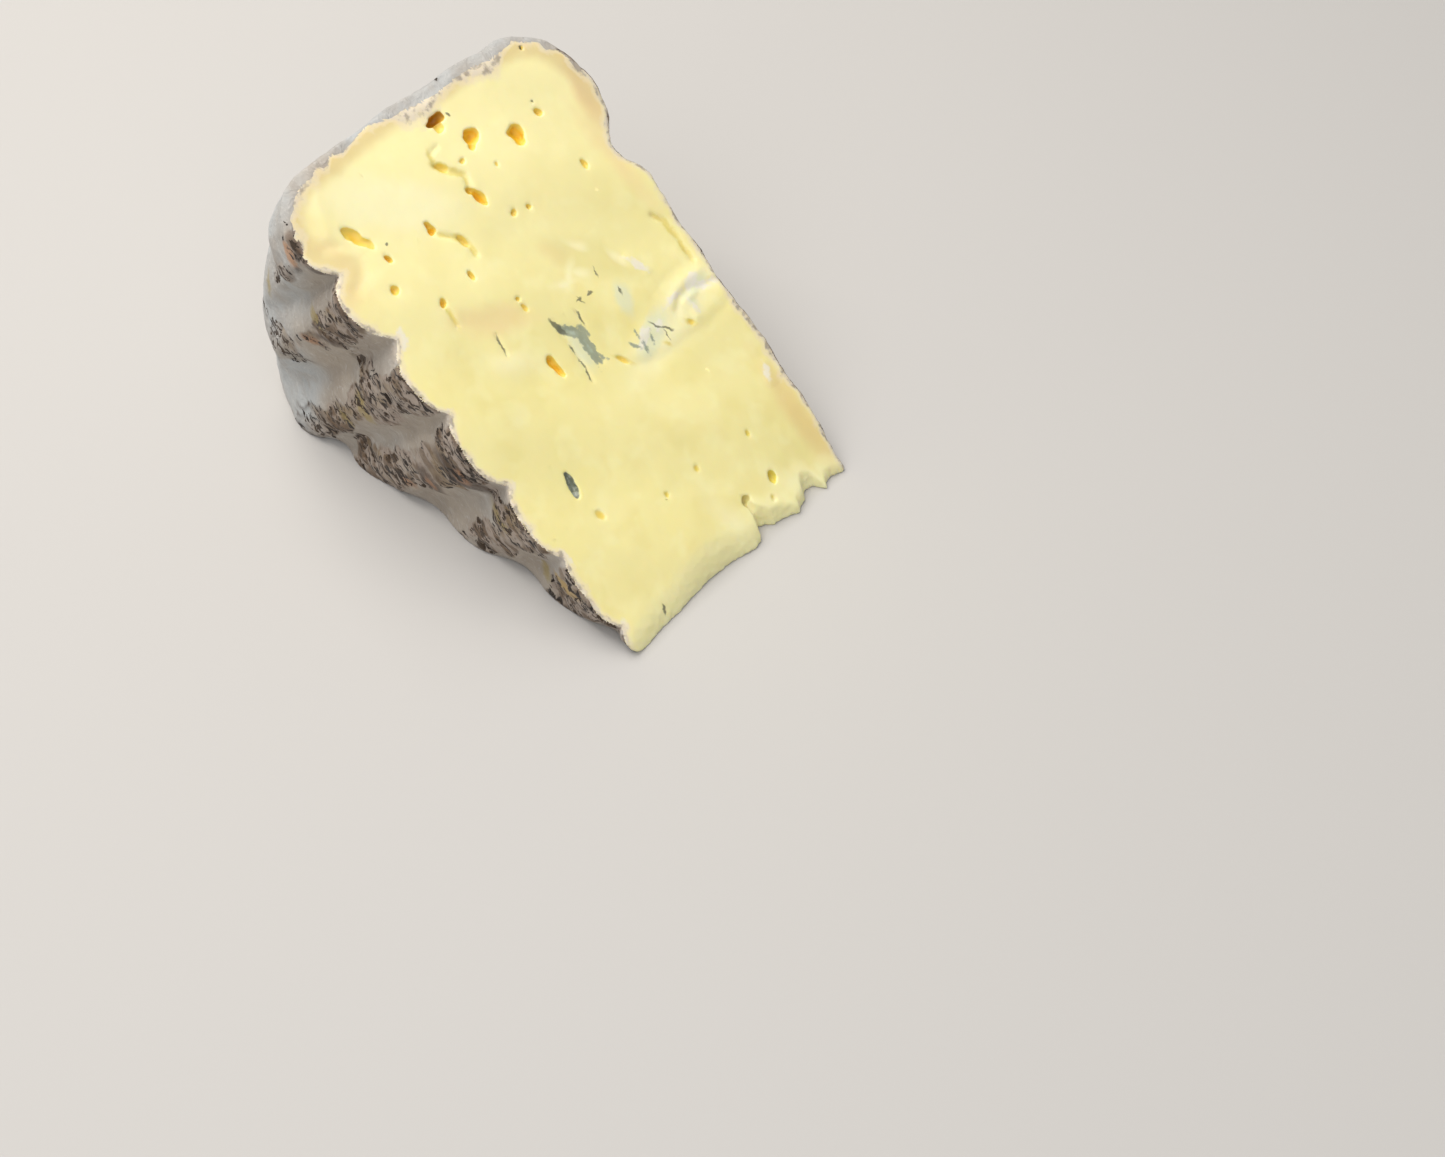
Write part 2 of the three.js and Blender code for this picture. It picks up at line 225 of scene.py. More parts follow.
# Creases (-) and folds (+) that the knife left: height, half width, and where they run.
PASTE_CREASES = [
    (-0.55, 0.8, [(103.4, -1.1), (106, -1.7), (107.6, -0.6), (109, 1.1), (111, 2.4)]),
    (-0.3, 0.6, [(111, 2.4), (113.6, 2.1), (114.3, -0.8)]),
    (-0.5, 0.6, [(91, 7.5), (94, 7.4), (96.4, 8.8), (99.6, 12)]),
    (-0.35, 0.6, [(81.6, 21.2), (84, 20.9), (86.4, 20.9)]),
    (-0.5, 0.8, [(62, -35.9), (67, -36.3), (70, -36.2), (73, -35.7), (75, -34.4)]),
    (0.14, 1.8, [(54, -8), (52.2, -11), (51.2, -17), (51.2, -24), (50.6, -29), (52, -36)]),
    (-0.1, 1.4, [(51, -8), (49.3, -12), (48.6, -17), (48.8, -25), (48, -29), (49.4, -37)]),
    (0.3, 1.3, [(57.2, -24.4), (58.8, -27.5), (59.4, -31), (59.2, -35)]),
    (-0.28, 0.9, [(55.2, -24.5), (56.9, -26.4), (57.4, -29.5), (56.0, -33), (54.9, -39)]),
    (0.25, 0.9, [(51.2, -27.6), (53.4, -28.4), (55.4, -27.4), (56, -31)]),
    (-0.12, 1.2, [(60.9, -21), (62.3, -27), (62.6, -33)]),
    (0.2, 1.6, [(52.6, -11.8), (55.6, -12.2), (55.2, -16.5), (53.6, -19)]),
    (0.3, 1.2, [(66.2, -24.4), (70.8, -22.4)]),
    (-0.2, 3.0, [(75, 9), (78, 13), (80.5, 19)]), (0.25, 2.8, [(67, 14.5), (69.5, 18.5)]),
    (-0.25, 0.6, [(54.6, 3.2), (60.2, 2.5), (64, 2.4), (69.8, 2.4)]),
    (-0.3, 0.9, [(57, -1.8), (64.8, -1.6), (67, 1.6)]),
    (-0.25, 0.4, [(70.4, 16), (74.9, 15.3)]), (-0.25, 0.4, [(65.2, -3.8), (68.6, -3.7)]),
    (-0.22, 1.4, [(99.6, 35), (101.2, 31.4), (104.4, 30.3), (108.4, 31), (110.2, 34)]),
    (0.2, 1.6, [(112, 32.2), (116, 30.2), (120, 29)]), (0.3, 1.6, [(29.6, -33.2), (33.2, -34)]),
]
# Where the rim has crumbled: across, how far back on the upper cut, how far down the rind.
CRUMBLED_RIM = [
    (-45, 0.5, 0.6), (-38, 0.6, 0.6), (-35, 0.7, 0.8), (-30, 1.0, 1.1), (-26, 2.4, 1.3),
    (-23, 3.6, 1.2), (-18, 3.2, 1.3), (-14, 2.0, 1.2), (-11, 2.2, 1.0), (-8, 2.8, 1.1),
    (-5, 3.6, 1.2), (-1, 3.8, 1.2), (2, 3.0, 1.2), (4, 2.0, 1.0), (6, 1.2, 0.9), (10, 0.7, 0.8),
    (21, 0.7, 0.7), (25, 1.3, 0.9), (28, 2.2, 1.2), (32, 2.2, 1.2), (35, 1.8, 1.0), (38, 1.0, 0.8),
]
CRUMBLED_SIDE = (0.45, 0.6)  # the same two sizes all along both sides
CRUMBLED_FROM = (108, 114)  # from the axis: the side's crumbling turns into the rim's
CRUMBS = [(0.8, 3.2, 32), (0.35, 1.4, 33)]  # roughness: height, lump, seed
LEAST_CRUMB = 0.1  # how far back it has broken everywhere
EYE_WOBBLE = (0.22, 2.2)  # an eye's unevenness: share of its width, and lump
WIDEST_WOBBLE = 3  # an eye wider than this is no more uneven

# Rounding where two surfaces meet.
KNIFE_EDGE = 0.4
CRUMB_EDGE = 0.35
EYE_EDGE = 0.3

VOXEL = 0.38  # between the points where the field is worked out
BAND = 3 * VOXEL  # how far from the skin the field is kept
GRID_SPARE = {"tip": 1.5, "rim": 3, "side": 2.5, "foot": 2}  # how far it reaches past the slice
CRUMB_REACH = 6  # how far from rind and cut the crumbled edge is worked out
TIP_REACH = 14  # how far out from the axis the torn tip is
EYE_SPARE = 2  # how far past its wall an eye is worked out
MOST_TRIANGLES = 196000  # the piece stays under 200,000


def smoothstep(value, start, end):
    """0 up to the start, 1 from the end on, and smooth between them."""
    t = np.clip((value - start) / (end - start), 0, 1)
    return t * t * (3 - 2 * t)


def lerp(start, end, share):
    """From start to end by a share from 0 to 1."""
    return start + (end - start) * share


def bell(distance, width):
    """1 at no distance, and a third of that at the width."""
    return np.exp(-((distance / width) ** 2))


def waves(rows, x, y, z):
    """Long waves added up: height, radians per mm of x, y and z, and start."""
    return sum(h * np.sin(ax * x + ay * y + az * z + start) for h, ax, ay, az, start in rows)


def soft_max(a, b, width):
    """The larger of two fields, with the edge where they meet rounded over width."""
    share = np.clip(0.5 + 0.5 * (a - b) / width, 0, 1)
    return lerp(b, a, share) + width * share * (1 - share)


def noise(x, y, z, lump, seed):
    """Smooth random heights from about -1 to 1, in lumps of the named size in mm.

    Each corner of a lattice has a random slope, and a place blends those of its eight corners.
    """
    source = np.random.default_rng(seed)
    table = source.permutation(256)
    slopes = source.normal(size=(256, 3))
    slopes /= np.linalg.norm(slopes, axis=1)[:, None]
    place = np.stack(np.broadcast_arrays(x, y, z), -1) / lump
    cell = np.floor(place).astype(int)
    inside = place - cell
    fade = inside**3 * (inside * (inside * 6 - 15) + 10)
    height = 0
    for corner in np.ndindex(2, 2, 2):
        i, j, k = ((cell[..., n] + corner[n]) & 255 for n in range(3))
        slope = slopes[table[(table[(table[i] + j) & 255] + k) & 255]]
        weight = np.prod(np.where(corner, fade, 1 - fade), -1)
        height = height + weight * ((inside - corner) * slope).sum(-1)
    return 1.6 * height


def roughness(layers, x, y, z):
    """Layers of noise added up: height, lump and seed of each."""
    return sum(height * noise(x, y, z, lump, seed) for height, lump, seed in layers)


def up_the_slice(x, z):
    """0 at the lower cut and 1 at the upper one."""
    return np.clip(np.arctan2(z, np.maximum(x, 1)) / OPENING, 0, 1)


def on_the_side(x, z):
    """1 on the wheel's two flat sides, falling to 0 where they turn into the rim."""
    starts, ends = SIDE_ENDS
    return 1 - smoothstep(np.hypot(x, z), RADIUS - starts, RADIUS - ends)


def groove_depth(x, z):
    """Depth of the mat grooves: narrow notches at the upper cut, broad bands below."""
    up = up_the_slice(x, z)
    across = x * math.cos(GROOVE_HEADING) + z * math.sin(GROOVE_HEADING)
    stray, by_x, by_z = GROOVE_STRAY
    across = across + (1 - up) * stray * np.sin(by_x * x - by_z * z)
    depth = 0 * up
    for middle, deepest, half in GROOVES:
        off = np.abs(across - middle * math.cos(GROOVE_HEADING - OPENING))
        half = half * lerp(GROOVE_BROADER, 1, up)
        notch = np.exp(-((off / half) ** lerp(*GROOVE_SQUARE, up)))
        depth = depth + notch * lerp(GROOVE_BELOW, deepest, up)
    starts, ends = GROOVE_ENDS
    return depth * (1 - smoothstep(np.hypot(x, z), RADIUS - starts, RADIUS - ends))


def grooved_side(x, z):
    """How far the grooved side stands from the wheel's middle plane."""
    radius = np.hypot(x, z)
    at_axis, at_shoulder, shoulder = GROOVED_SIDE
    face = lerp(at_axis, at_shoulder, np.minimum(radius / shoulder, 1))
    fall = (1 - up_the_slice(x, z)) * RIDGE_FALL * on_the_side(x, z)
    return face - fall - groove_depth(x, z)


def plain_side(x, z):
    """How far the other side stands from that plane."""
    radius = np.hypot(x, z)
    at_axis, at_shoulder, shoulder = PLAIN_SIDE
    face = lerp(at_axis, at_shoulder, np.minimum(radius / shoulder, 1))
    pinch = PINCH["depth"] * lerp(PINCH["left_below"], 1, up_the_slice(x, z))
    return face - pinch * bell(radius - PINCH["radius"], PINCH["width"])


def outside_rind(x, y, z):
    """How far outside the rind's skin a place is, in millimetres; negative within."""
    crown, crown_half = RIM_CROWN
    rim = np.hypot(x, z) - RADIUS - crown * np.maximum(1 - (y / crown_half) ** 2, 0)
    grooved_corner = lerp(*GROOVED_CORNER, up_the_slice(x, z))
    for middle, more, half in CORNER_DENTS:
        turned = np.degrees(np.arctan2(z, np.maximum(x, 1)))
        grooved_corner = grooved_corner + more * bell(turned - middle, half)
    turns = (
        (grooved_side, y, grooved_corner, CORNER_SQUARE["grooved"]),
        (plain_side, -y, PLAIN_CORNER, CORNER_SQUARE["plain"]),
    )
    step = 0.3
    skin = None
    for side, across, corner, square in turns:
        height = side(x, z)
        slope = np.hypot(side(x + step, z) - height, side(x, z + step) - height) / step
        face = (across - height) / np.sqrt(1 + slope**2)
        turned = np.maximum(face + corner, 0) ** square + np.maximum(rim + corner, 0) ** square
        rounded = np.minimum(np.maximum(face, rim), -corner) + turned ** (1 / square)
        skin = rounded if skin is None else np.maximum(skin, rounded)
    return skin - waves(RIND_LUMPS, x, y, z)


def on_upper_cut(x, z):
    """Distance along the upper cut from the axis, and height above it."""
    along = x * math.cos(OPENING) + z * math.sin(OPENING)
    above = z * math.cos(OPENING) - x * math.sin(OPENING)
    return along, above


def paste_height(along, across):
    """How far the relaxed, creased paste stands above a straight cut."""
    height = waves(PASTE_SWELL, along, across, 0)
    for rise, half, path in PASTE_CREASES:
        nearest = np.inf
        for (a0, c0), (a1, c1) in zip(path, path[1:]):
            run = np.array([a1 - a0, c1 - c0])
            share = ((along - a0) * run[0] + (across - c0) * run[1]) / (run @ run)
            share = np.clip(share, 0, 1)
            off = np.hypot(along - a0 - share * run[0], across - c0 - share * run[1])
            nearest = np.minimum(nearest, off)
        height = height + rise * bell(nearest, half)
    return height


def above_upper_cut(x, y, z):
    """How far a place is above the upper cut as it is now, relaxed and creased."""
    along, above = on_upper_cut(x, z)
    return above - paste_height(along, y)


def past_tip(x, y, z):
    """How far a place is beyond the torn face of the tip."""
    across, foot = zip(*TIP_EDGE)
    return np.interp(y, across, foot) + TIP_LEAN * z + roughness(TIP_TEAR, 0, y, z) - x


def crumbled_edge(skin, above, x, y, z):
    """The broken arris where rind and upper cut meet: above 0 where it has broken away."""
    across, *table = zip(*CRUMBLED_RIM)
    on_rim = smoothstep(np.hypot(x, z), *CRUMBLED_FROM)
    back, drop = (lerp(s, np.interp(y, across, t), on_rim) for s, t in zip(CRUMBLED_SIDE, table))
    back = back + roughness(CRUMBS, x, y, z) * lerp(0.5, 1, on_rim)
    back = np.maximum(back, LEAST_CRUMB)
    return (skin * drop + above * back + back * drop) / np.hypot(back, drop)


def from_eye(along, across, above, sizes, seed):
    """Distance from the wall of one eye: a flattened gas bubble, never quite round."""
    middle_along, middle_across, length, width, depth, turn = sizes
    out = along - middle_along
    over = across - middle_across
    cos = math.cos(math.radians(turn))
    sin = math.sin(math.radians(turn))
    share, lump = EYE_WOBBLE
    wobble = noise(out, over, above, lump, seed) * share * min(width, WIDEST_WOBBLE)
    place = (out * cos + over * sin + wobble, over * cos - out * sin + wobble, above)
    radii = (length / 2, width / 2, depth)
    near = np.sqrt(sum((reach / radius) ** 2 for reach, radius in zip(place, radii)))
    steep = np.sqrt(sum((reach / radius**2) ** 2 for reach, radius in zip(place, radii)))
    return near * (near - 1) / np.maximum(steep, 1e-6)


# The field: the wheel, cut above, crumbled, torn at the tip, cut below, and hollowed by eyes.
xs = np.arange(-GRID_SPARE["tip"], RADIUS + GRID_SPARE["rim"], VOXEL)
ys = np.arange(-PLAIN_SIDE[1] - GRID_SPARE["side"], GROOVED_SIDE[1] + GRID_SPARE["side"], VOXEL)
zs = np.arange(-GRID_SPARE["foot"], (RADIUS + GRID_SPARE["rim"]) * math.sin(OPENING), VOXEL)
gx, gy, gz = xs[:, None, None], ys[None, :, None], zs[None, None, :]
skin = outside_rind(gx, gy, gz)
above_cut = above_upper_cut(gx, gy, gz)
field = soft_max(skin, above_cut, KNIFE_EDGE)
near = np.nonzero((np.abs(skin) < CRUMB_REACH) & (np.abs(above_cut) < CRUMB_REACH))
spot = (xs[near[0]], ys[near[1]], zs[near[2]])
crumbled = crumbled_edge(skin[near], above_cut[near], *spot)
field[near] = soft_max(field[near], crumbled, CRUMB_EDGE)
near = np.nonzero(xs < TIP_REACH)[0].max() + 1
edge_round = lerp(*TIP_EDGE_ROUND, smoothstep(gy, *TIP_TORN))
field[:near] = soft_max(field[:near], past_tip(gx[:near], gy, gz), edge_round)
field = soft_max(field, -gz, KNIFE_EDGE).astype(np.float32)
for eyes, angle, first_seed in ((UPPER_EYES, OPENING, 0), (LOWER_EYES, 0, 40)):
    for seed, sizes in enumerate(eyes, first_seed):
        reach = max(sizes[2], sizes[3], 2 * sizes[4]) / 2 + EYE_SPARE
        middle = (sizes[0] * math.cos(angle), sizes[1], sizes[0] * math.sin(angle))
        box = tuple(
            slice(*np.searchsorted(axis, (m - reach, m + reach)))
            for axis, m in zip((xs, ys, zs), middle)
        )
        x, y, z = gx[box[0]], gy[:, box[1]], gz[:, :, box[2]]
        along = x * math.cos(angle) + z * math.sin(angle)
        above = z * math.cos(angle) - x * math.sin(angle)
        if angle:
            above = above - paste_height(along, y)
        hole = from_eye(along, y, above, sizes, seed)
        field[box] = soft_max(field[box], -hole, EYE_EDGE)

grid = openvdb.FloatGrid(background=BAND)
grid.copyFromArray(np.clip(field, -BAND, BAND).astype(np.float32), ijk=(0, 0, 0), tolerance=0.0)
grid.transform = openvdb.createLinearTransform(voxelSize=VOXEL)
points, quads = grid.convertToQuads(isovalue=0.0)
points = points.astype(float) + (xs[0], ys[0], zs[0])


# ---- Its fine relief ----------------------------------------------------
# The rind is a dry skin of moulds over a tougher crust: smooth and grey in the grooves, and
# on the ridges rubbed through to brown, scabby, cracked crust. The cut paste is nearly
# smooth. The relief moves each point of the mesh along its normal.

# Where the grooved side was handled more, or less: how far out, height, reach, how much.
HANDLED = [
    (78.5, 38.5, 6, 0.9), (81, 60.5, 2.6, 1.6), (86.3, 6.4, 4, 1.3), (46.5, 3.5, 3, 0.8),
    (41, 22, 3, 1.1), (79.5, 20, 3.4, -0.8), (76.5, 9.5, 4, 1.0), (69.5, 14, 4.5, 0.9),
    (69, 27, 3.5, 0.8), (107, 31, 4.5, 1.4), (102.5, 26, 3, 1.2), (111, 20, 3, 0.9),
]
GROOVED_FROM = (8, 29)  # across: none of what belongs to the grooved side, and all of it
SHELTER = 1.8  # a groove this deep keeps all its felt
OFF_THE_SIDE = 0.45  # how exposed the rind is elsewhere, where a ridge is 1 and a groove 0
DRAWN_OUT = (0.4, 0.8, 1)  # how much of its size a place keeps: across a ridge, out, down it
# Roughness: height, lump and seed of each layer.
RUBBED_PATCHES = [(0.8, 15, 1), (0.8, 6, 2), (0.4, 2.6, 3)]
TEARS = [(1, 1.5, 4), (0.5, 0.8, 5)]
RIND_GRAIN = [(0.3, 6, 8), (0.16, 2.6, 9), (0.07, 1.2, 10)]
PASTE_GRAIN = [(0.06, 5, 12), (0.03, 1.6, 13)]
SCAB_HEIGHT = 0.3
SCAB_SIZE = 1.5
CRAG_DEPTH = 0.6
RIND_FROM = (-0.9, -0.25)  # below the rind's skin: all paste, and all rind
FLAT_FOOT = (0.15, 1.0)  # above the floor: no relief, and all of it


def handled(x, y, z):
    """How much more the grooved side was rubbed at a place than the rest of it."""
    more = sum(much * bell(np.hypot(x - a, z - c), reach) for a, c, reach, much in HANDLED)
    return more * smoothstep(y, *GROOVED_FROM)


def rubbed(x, y, z):
    """0 where the grey mould lies whole, 1 where the brown crust shows through."""
    side = on_the_side(x, z) * smoothstep(y, *GROOVED_FROM)
    ridge = lerp(OFF_THE_SIDE, 1 - np.clip(groove_depth(x, z) / SHELTER, 0, 1), side)
    patch = roughness(RUBBED_PATCHES, x, y, z)
    # The felt is thicker towards the rim, and most of all on the rim's grooved half.
    on_rim = smoothstep(np.hypot(x, z), RADIUS - 18, RADIUS - 6)
    thicker = 0.2 * smoothstep(x, 85, 112) + lerp(0.5, 1.2, smoothstep(y, -5, 20)) * on_rim
    return smoothstep(patch + 1.8 * (ridge - 0.4) - thicker + handled(x, y, z), -0.4, 0.5)


def drawn_out(x, y, z):
    """The same place, squeezed across the ridges, so that what is laid on it crosses them."""
    across = x * math.cos(GROOVE_HEADING) + z * math.sin(GROOVE_HEADING)
    down = z * math.cos(GROOVE_HEADING) - x * math.sin(GROOVE_HEADING)
    squeezed, thinned, whole = DRAWN_OUT
    return squeezed * across, thinned * y, whole * down


def rind_look(x, y, z):
    """Crust showing, where it is cracked, and the crags torn in it: 1 at their bottom."""
    crust = rubbed(x, y, z)
    cracked = 0.9 * noise(x, y, z, 5, 330) + crust + 0.4 * handled(x, y, z)
    cracked = smoothstep(cracked, 0.45, 1.15)
    torn_open = smoothstep(roughness(TEARS, *drawn_out(x, y, z)), 0.25, 0.75)
    return crust, cracked, torn_open * cracked


def finish_points(place, normal):
    """Moves every point along its normal by the relief that belongs there."""
    x, y, z = place.T
    in_rind = smoothstep(outside_rind(x, y, z), *RIND_FROM)
    off_floor = smoothstep(z, *FLAT_FOOT)
    crust, _, crags = rind_look(x, y, z)
    scabs = SCAB_HEIGHT * crust * noise(*drawn_out(x, y, z), SCAB_SIZE, 11)
    rise = roughness(RIND_GRAIN, x, y, z) + scabs - CRAG_DEPTH * crags
    soft = roughness(PASTE_GRAIN, x, y, z)
    move = (in_rind * rise + (1 - in_rind) * soft) * off_floor
    return place + normal * move[:, None]


def as_mesh(name, verts, faces):
    """A smooth-shaded mesh from arrays of points and faces."""
    mesh = bpy.data.meshes.new(name)
    mesh.from_pydata(verts.tolist(), [], faces.tolist())
    mesh.shade_smooth()
    return mesh


rough = as_mesh("rough", points, quads)
normals = np.empty(len(points) * 3)
rough.vertex_normals.foreach_get("vector", normals)
points = finish_points(points, normals.reshape(-1, 3))
dense = bpy.data.objects.new("dense", as_mesh("dense", points, quads))
bpy.context.scene.collection.objects.link(dense)
thin = dense.modifiers.new("thin", "DECIMATE")
thin.ratio = min(1, MOST_TRIANGLES / (2 * len(quads)))
thin.use_collapse_triangulate = True
bpy.context.view_layer.update()
seen = dense.evaluated_get(bpy.context.evaluated_depsgraph_get())
slice_mesh = bpy.data.meshes.new_from_object(seen)
slice_mesh.name = "slice_of_cheese"
bpy.data.objects.remove(dense)

# What each point is told of itself, for the two materials.
place = np.empty(len(slice_mesh.vertices) * 3)
slice_mesh.vertices.foreach_get("co", place)
place = place.reshape(-1, 3)
x, y, z = place.T
skin = outside_rind(x, y, z)
above = above_upper_cut(x, y, z)
within_tip = -past_tip(x, y, z)
crust, cracked, crags = rind_look(x, y, z)
marks = {
    "under_rind": -skin,  # mm below the rind's skin
    "hollow": np.minimum(-above, z) * smoothstep(within_tip, 1.2, 2.4),  # mm below the nearer cut
    "broken": crumbled_edge(skin, above, x, y, z),  # 0 on the crumbled arris, less inside
    "rubbed": crust,
    "cracked": cracked,
    "crags": crags,
    "to_rim": smoothstep(x + 6 * noise(x, y, z, 14, 18), 88, 112),  # 1 near the rim, wavering
    "tip_painted_light": 0.5 * smoothstep(within_tip, 3.0, 0.8),  # painted light: how much the torn tip's face is paled
}
for name, values in marks.items():
    mark = slice_mesh.attributes.new(name, "FLOAT", "POINT")
    mark.data.foreach_set("value", values.astype(np.float32))
slice_mesh.vertices.foreach_set("co", ((place + AXIS) * MM).ravel())
slice_mesh.shade_smooth()
slice_mesh.update()

cheese = bpy.data.objects.new("slice_of_cheese", slice_mesh)
bpy.context.scene.collection.objects.link(cheese)
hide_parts("cheese_wedge")
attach(cheese, "root")


# ---- The paste ----------------------------------------------------------
# Soft paste of washed curd, cut with a knife. Milk fat and protein scatter light for some
# millimetres, so it looks creamy. The orange glow inside its deeper eyes is painted light.
# Blue mould grew along one crack, with white fuzz where the air got in.


def stain(tree, tone, tint, mark, start, end, most=1.0):
    """Lays a tint over a tone: none where a mark is at the start, the most of it at the end."""
    share = add(
        tree, "ShaderNodeMapRange",
        {"Value": mark, "From Min": start, "From Max": end, "To Max": most},
        interpolation_type="SMOOTHSTEP",
    ).outputs["Result"]
    if isinstance(tint, str):
        tint = linear(tint)
    return add(tree, "ShaderNodeMix", {0: share, 6: tone, 7: tint}, data_type="RGBA").outputs[2]


def shaken(tree, place, lump, reach):
    """The same place, moved about by up to the reach in mm, to make edges ragged."""
    noise_node = add(tree, "ShaderNodeTexNoise", {"Vector": place, "Scale": 1 / lump})
    centred = add(
        tree, "ShaderNodeVectorMath",
        {0: noise_node.outputs["Color"], 1: (0.5, 0.5, 0.5)}, operation="SUBTRACT",
    )
    moved = add(
        tree, "ShaderNodeVectorMath",
        {0: centred.outputs[0], 1: (2 * reach,) * 3, 2: place}, operation="MULTIPLY_ADD",
    )
    return moved.outputs[0]


def strokes(tree, place, rows, level=0, thick=4):
    """How many mm a place is inside tapered strokes: from, to and half width of each.

    They lie on a flat face at a level of the place's third axis, and reach thick mm off it.
    """
    inside = None
    for a0, c0, a1, c1, half in rows:
        laid = add(
            tree, "ShaderNodeMapping",
            {
                "Vector": place,
                "Location": ((a0 + a1) / 2, (c0 + c1) / 2, level),
                "Rotation": (0, 0, math.atan2(c1 - c0, a1 - a0)),
                "Scale": (math.hypot(a1 - a0, c1 - c0) / 2 + half, half, thick),
            },
            vector_type="TEXTURE",
        )
        out = add(tree, "ShaderNodeVectorMath", {0: laid.outputs[0]}, operation="LENGTH")
        sockets = {0: out.outputs["Value"], 1: -half, 2: half}
        depth = add(tree, "ShaderNodeMath", sockets, operation="MULTIPLY_ADD").outputs[0]
        if inside is not None:
            sockets = {0: inside, 1: depth}
            depth = add(tree, "ShaderNodeMath", sockets, operation="MAXIMUM").outputs[0]
        inside = depth
    return inside


# Strokes on the upper cut: along and across of both ends, and half width.
DARK_VEINS = [
    (54.6, 3.3, 57.4, 2.9, 0.3), (57.2, 2.9, 60.2, 2.5, 0.22), (61.6, 2.4, 63.6, 2.4, 0.25),
    (66.3, 1.5, 69.9, 2.6, 0.75), (65.2, -3.8, 68.6, -3.7, 0.28), (70.1, -5.6, 70.2, -6.8, 0.3),
    (69.2, -6.5, 70.8, -6.2, 0.2), (69.6, -8.9, 69.8, -9.6, 0.4), (70.4, 16.1, 74.9, 15.3, 0.3),
    (5.1, 23.2, 7.0, 22.7, 0.35), (71.8, -13.4, 73.8, -13.8, 0.22), (65.6, -15.8, 67, -16.1, 0.25),
    (52.4, -20.6, 54.2, -18.4, 0.33), (54.0, -18.4, 56.4, -17.0, 0.3), (51.2, -18.6, 53, -18.5, 0.2),
    (103.7, 22.9, 103.9, 22.4, 0.3), (121.2, -32.4, 121.5, -32.4, 0.4),
    (110.5, -26.6, 110.6, -26.6, 0.25), (118.1, -7.8, 118.7, -7.6, 0.35),
]
BLUE_PATCHES = [
    (57.2, -1.3, 64.6, -1.3, 1.4), (63.4, -1.8, 67.6, 1.8, 1.3), (56.6, -2.9, 59.2, -1.6, 0.4),
    (56.4, -0.2, 59.0, -0.9, 0.4), (63.2, -2.9, 65.6, -2.2, 0.7), (51.9, -12.1, 54.2, -12.5, 0.5),
    (53.6, -11.2, 55.8, -9.7, 0.4), (55.2, -12.2, 57.8, -12.6, 0.4), (52.6, -14.6, 54.4, -15.4, 0.3),
]
# Green haze: mould by the blue patches; the last two strokes, in the fold's crease, are painted shade.
GREEN_HAZE_AND_SHADE = [
    (58.4, 0.9, 65.2, 0.6, 1.6), (52.6, -12.6, 56.0, -18.6, 2.6), (62.4, -14.6, 66.5, -16.0, 1.8),
    (56.4, -30.5, 57.4, -34, 1.7), (53.5, -29.2, 56.5, -28.6, 1.0),
]
WHITE_FUZZ = [
    (53.8, -11.8, 55.8, -14.8, 1.5), (54.4, -17.2, 55.8, -19.0, 1.0), (57.2, -22.4, 58.2, -28, 1.0),
    (57.6, -30.5, 59.0, -33, 1.6), (51.6, -28.6, 55.4, -28.4, 0.7), (55.0, -35.4, 56.8, -32.2, 1.2),
    (54.8, -38.5, 55.8, -35.2, 0.9), (66.2, -24.6, 70.8, -22.2, 1.2), (29.6, -33.0, 33.2, -34.2, 1.1),
    (8.6, 33.9, 10.2, 32.8, 1.0), (26.6, 34.4, 30.6, 34.3, 1.0), (46.8, 35.0, 48.3, 33.6, 0.9),
    (84.4, 34.8, 87.4, 32.8, 1.5), (67.4, 35.2, 68.6, 35.0, 0.6),
]
TINTS = {
    "#ecd49a": [
        (75.6, 9.4, 80.6, 18.6, 2.6), (80.4, -9.2, 81.6, -8.0, 1.4), (98.8, 37, 101.4, 33.6, 1.8),
        (101.6, 33.2, 110, 33.4, 1.9), (109.6, 33, 111, 37, 1.2), (84, -35.5, 97, -34.6, 1.2),
    ],
    "#e1c583": [(7, -33.4, 28, -33.6, 2.2)],
    "#e3d893": [(80, -11, 71, -19, 3.6)],
    "#e2bd8e": [(100, -38.6, 114, -40, 1.8)],
}
YELLOW_CREASES = [
    (103.4, -1.1, 106.4, -1.7, 0.6), (106.2, -1.6, 108.8, 0.9, 1.0), (108.2, 0.4, 111.4, 2.6, 1.2),
    (111.4, 2.4, 114, 1.9, 0.6), (91, 7.5, 94.4, 7.4, 0.7), (93.6, 7.4, 97, 9.2, 1.0),
    (96.4, 8.9, 99.6, 12, 0.5), (81.4, 21.2, 86, 20.8, 0.7),
    (62, -35.8, 68.5, -36.3, 0.7), (67.8, -36.2, 73.4, -35.9, 0.9), (72.6, -35.9, 75.2, -34.3, 0.7),
    (52.2, -7.4, 55.8, -5.0, 0.7), (50.2, -26.2, 51.8, -24.8, 0.7), (50.0, -17.8, 51.0, -16.9, 0.6),
    (24.6, 5.8, 25.2, 5.8, 0.6), (24.8, -4.2, 25.4, -4.2, 0.6), (30.6, 21.5, 31.4, 21.5, 0.8),
    (8.4, -15.2, 9, -15.2, 0.6), (23.4, -19.7, 23.8, -19.7, 0.6),
]
# Painted highlights: pale patches where the light falls brightest on the cut.
PAINTED_HIGHLIGHTS = [
    (66.4, 14.6, 69.6, 18.6, 2.2), (9, -4, 15, -2.6, 2.2), (6, -26, 10, -21, 2.0),
    (50, -9, 58, -36, 4.5), (104, 8, 116, 24, 6),
]
PALE_CREASES = [
    (81, -13.4, 79, -14.8, 0.8), (73.6, -20.6, 71.2, -21.8, 0.9), (77.8, -9.6, 74.9, -6.9, 0.9),
    (75.3, -4.8, 74.7, -7.4, 0.8), (76, -9.9, 74, -11.6, 0.8),
]
PALE_EYE = [(7, -9.3, 13.2, -9, 2.2)]
BROWN_EYE = [(119.4, -6.6, 119.0, -2.8, 1.5)]
GREY_EYE = [(37, 23.3, 42.2, 21.4, 3)]

